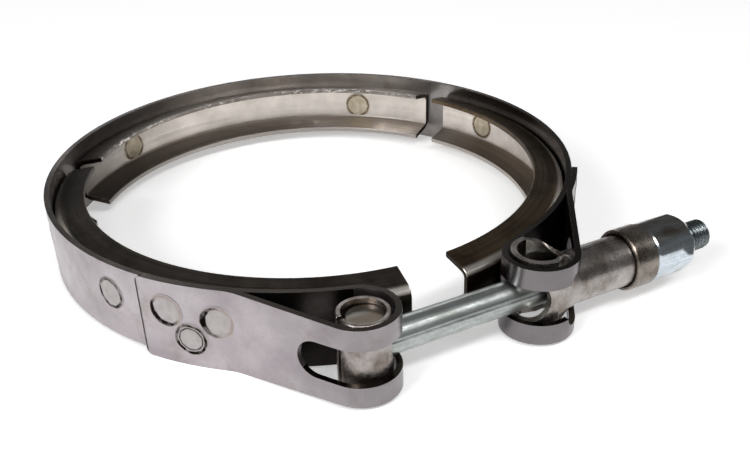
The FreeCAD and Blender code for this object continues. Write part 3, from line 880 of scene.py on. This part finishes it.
# %% Burnt dish
def weld_finish(name, dish, worn_dish, rim, halo, burnt, inside=False):
    """Steel that an electrode has pressed and heated: a plain dish, a dark ring and a warm halo."""
    material, tree, shader = new_material(name, Metallic=1.0)
    place, parts = millimetres(tree)
    wobble = add(tree, RANGE, patches(tree, place, 1.3, 2.0), 0.3, 0.7, -0.03, 0.03)
    middle_to_rim = add(tree, ATTRIBUTE, attribute_name="reach").outputs["Fac"]
    reach = add(tree, MATH, middle_to_rim, wobble, operation="ADD")
    patchy = add(tree, RANGE, patches(tree, place, 1.8, 2.0), 0.35, 0.55, 0.45, 1.0)
    ring = add(tree, MATH, burnt_ring(tree, reach), patchy, operation="MULTIPLY")
    colour = dish
    for share, tone in ((add(tree, RANGE, patches(tree, place, 1.6, 3.0), 0.35, 0.65), worn_dish),
                        (add(tree, RANGE, reach, 0.7, 0.8), rim),
                        (warm_halo(tree, reach, patchy), halo),
                        (second_ring(tree, reach), burnt), (ring, burnt)):
        colour = add(tree, MIX, share, colour, tone, data_type="RGBA")
    # Inside the channels, the marks get the same painted shade on the rear left.
    colour = painted_shade_on_the_left(tree, parts, colour) if inside else colour
    dress(tree, shader, colour, 0.38, patches(tree, place, 0.45, 2.0), 0.012)
    return material


outer_weld_finish = weld_finish("spot weld on the strip", "bdb7b7", "aea8a6", "bab3b5", "a58f7d",
                                "0e0907")
inner_weld_finish = weld_finish("spot weld on the channel", "d3c8b4", "b8ab94", "ddd4ca", "b3a48e",
                                "7a6850", inside=True)
print(outer_weld_finish.name, inner_weld_finish.name, sep=", ")

# %% Where the welds are
# Angle round the ring in degrees and height in millimetres. On the tabs, also the way that the
# electrode leaned, along the ring and upwards, and how strong the second ring is.
LOW_LEFT, LEFT, EVEN = (-0.7, -0.7), (-1.0, 0.0), (0.0, 0.0)
tab_marks = [(-141.7, 2.6, LOW_LEFT, 0.0), (-131.9, 1.8, LEFT, 0.0), (-137.3, -2.8, EVEN, 0.9),
             (-41.6, 4.0, EVEN, 0.0), (-41.6, -4.0, LOW_LEFT, 0.0), (-47.8, 0.0, EVEN, 0.9)]
channel_marks = [(-156.1, 1.4), (51.6, -0.5), (120.8, -0.5), (11.6, 0.0), (-23.9, 1.4), (168.4, 0.0)]
web_inside = BAND_RADIUS - 2 * STRIP - 0.05 * MM
tab_outside = BAND_RADIUS + STRIP
ON_TAB, OFF_TAB = 1.0, 0.0
outer_welds = [(angle, height, tab_outside, ON_TAB, lean, twice)
               for angle, height, lean, twice in tab_marks]
outer_welds += [(angle, height, BAND_RADIUS, OFF_TAB, EVEN, 0.0) for angle, height in channel_marks]
inner_welds = [(angle, height, web_inside, OFF_TAB, EVEN, 0.0) for angle, height in channel_marks]


def weld_points(name, welds, side):
    """A mesh of loose points at the welds, each keeping what the nodes need to know of its weld."""
    kept = []
    for angle, height, surface, on_tab, (lean_along, lean_up), twice in welds:
        across, onwards = math.cos(math.radians(angle)), math.sin(math.radians(angle))
        kept.append({"middle": (surface * across, surface * onwards, height * MM),
                     "facing": (side * across, side * onwards, 0.0),
                     "lean": (-onwards * lean_along, across * lean_along, lean_up),
                     "whole": 0.0 if lean_along or lean_up else 1.0,
                     "surface": surface, "on_tab": on_tab, "twice": twice})
    mesh = bpy.data.meshes.new(name)
    mesh.from_pydata([weld["middle"] for weld in kept], [], [])
    for label, first in kept[0].items():
        if isinstance(first, tuple):
            attribute = mesh.attributes.new(label, "FLOAT_VECTOR", "POINT")
            attribute.data.foreach_set("vector", [number for weld in kept for number in weld[label]])
        else:
            attribute = mesh.attributes.new(label, "FLOAT", "POINT")
            attribute.data.foreach_set("value", [weld[label] for weld in kept])
    return mesh


print(len(outer_welds), "marks on the outside and", len(inner_welds), "on the inside")

# %% One disc at each weld
WELD_RADIUS = 3.6 * MM
weld_inputs = {"Weld Radius": WELD_RADIUS, "Rim Height": 0.07 * MM, "Lift": 0.05 * MM, "Side": 1.0,
               "Tab Leave Angle": math.radians(41), "Tab Bend Radius": 12 * MM}
tree, given = new_tree("wrapped weld marks", weld_inputs)
disc = add(tree, "GeometryNodeMeshCone", fill_type="NONE", Vertices=48, Side_Segments=20, Radius_Top=0.0,
           Radius_Bottom=given["Weld Radius"], Depth=0.0)
where = add(tree, "GeometryNodeInputPosition")
from_centre = add(tree, VECTOR_MATH, where, operation="LENGTH")
reach = add(tree, MATH, from_centre, given["Weld Radius"], operation="DIVIDE")
measured = add(tree, "GeometryNodeStoreNamedAttribute", disc, data_type="FLOAT", domain="POINT",
               Name="reach", Value=reach)
kept = {label: add(tree, "GeometryNodeInputNamedAttribute", data_type=kind, Name=label)
        for label, kind in (("facing", "FLOAT_VECTOR"), ("middle", "FLOAT_VECTOR"), ("surface", "FLOAT"),
                            ("on_tab", "FLOAT"), ("reach", "FLOAT"))}
aligned = add(tree, "FunctionNodeAlignRotationToVector", axis="Z", Vector=kept["facing"])
placed = add(tree, "GeometryNodeInstanceOnPoints", given["Geometry"], Instance=measured, Rotation=aligned)
real = add(tree, "GeometryNodeRealizeInstances", placed)
from_middle = add(tree, VECTOR_MATH, where, kept["middle"], operation="SUBTRACT")
direction = add(tree, VECTOR_MATH, from_middle, operation="NORMALIZE")
real = add(tree, "GeometryNodeStoreNamedAttribute", real, data_type="FLOAT_VECTOR", domain="POINT",
           Name="spot", Value=direction)
print("a weld is", round(2 * WELD_RADIUS / MM, 1), "mm across")

# %% How far each point lies from the ring's axis
# A tab leaves the ring near the opening, so the marks on it rise with the square of the distance.
RIM_AT, RIM_WIDTH = 0.86, 0.12
spot = add(tree, SPLIT, where).outputs
sideways = add(tree, MATH, spot["X"], operation="ABSOLUTE")
forwards = add(tree, MATH, spot["Y"], -1.0, operation="MULTIPLY")
from_opening = add(tree, MATH, sideways, forwards, operation="ARCTAN2")
past_leave = add(tree, MATH, given["Tab Leave Angle"], from_opening, operation="SUBTRACT")
gone = add(tree, MATH, past_leave, 0.0, operation="MAXIMUM")
arc = add(tree, MATH, add(tree, MATH, gone, kept["surface"], operation="MULTIPLY"), kept["on_tab"],
          operation="MULTIPLY")
double_bend = add(tree, MATH, given["Tab Bend Radius"], 2.0, operation="MULTIPLY")
rise = add(tree, MATH, add(tree, MATH, arc, arc, operation="MULTIPLY"), double_bend, operation="DIVIDE")

from_rim = add(tree, MATH, kept["reach"], RIM_AT, operation="SUBTRACT")
off_rim = add(tree, MATH, from_rim, operation="ABSOLUTE")
fallen = add(tree, MATH, off_rim, 1 / RIM_WIDTH, operation="MULTIPLY")
near_rim = add(tree, MATH, add(tree, MATH, 1.0, fallen, operation="SUBTRACT"), 0.0, operation="MAXIMUM")
rim = add(tree, MATH, near_rim, given["Rim Height"], operation="MULTIPLY")
proud = add(tree, MATH, add(tree, MATH, rim, given["Lift"], operation="ADD"), given["Side"],
            operation="MULTIPLY")
risen = add(tree, MATH, kept["surface"], rise, operation="ADD")
radius = add(tree, MATH, risen, proud, operation="ADD")
print("the rim stands", round(weld_inputs["Rim Height"] / MM, 2), "mm proud")

# %% Marks wrapped on the steel
away = add(tree, VECTOR_MATH, add(tree, GATHER, spot["X"], spot["Y"]), operation="NORMALIZE")
pushed = add(tree, VECTOR_MATH, away, radius, operation="SCALE")
target = add(tree, VECTOR_MATH, pushed, add(tree, GATHER, Z=spot["Z"]), operation="ADD")
wrapped = add(tree, "GeometryNodeSetPosition", real, Position=target)
painted = add(tree, "GeometryNodeSetMaterial", wrapped)
add(tree, "NodeGroupOutput", painted)

OUTWARDS, INWARDS = 1.0, -1.0
for name, welds, side, finish, slot in (
        ("strip_welds", outer_welds, OUTWARDS, outer_weld_finish, "band_steel"),
        ("channel_welds", inner_welds, INWARDS, inner_weld_finish, "channel_steel")):
    painted.inputs["Material"].default_value = finish
    marks = plain_mesh(name, tree, weld_points(name, welds, side), dict(weld_inputs, Side=side), finish)
    right_way = sum(side * Vector((face.center.x, face.center.y, 0)).dot(face.normal) > 0
                    for face in marks.data.polygons)
    print(name, right_way, "of", len(marks.data.polygons), "faces look the right way")
    if right_way < len(marks.data.polygons) / 2:
        marks.data.flip_normals()
    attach(marks, "clamp")
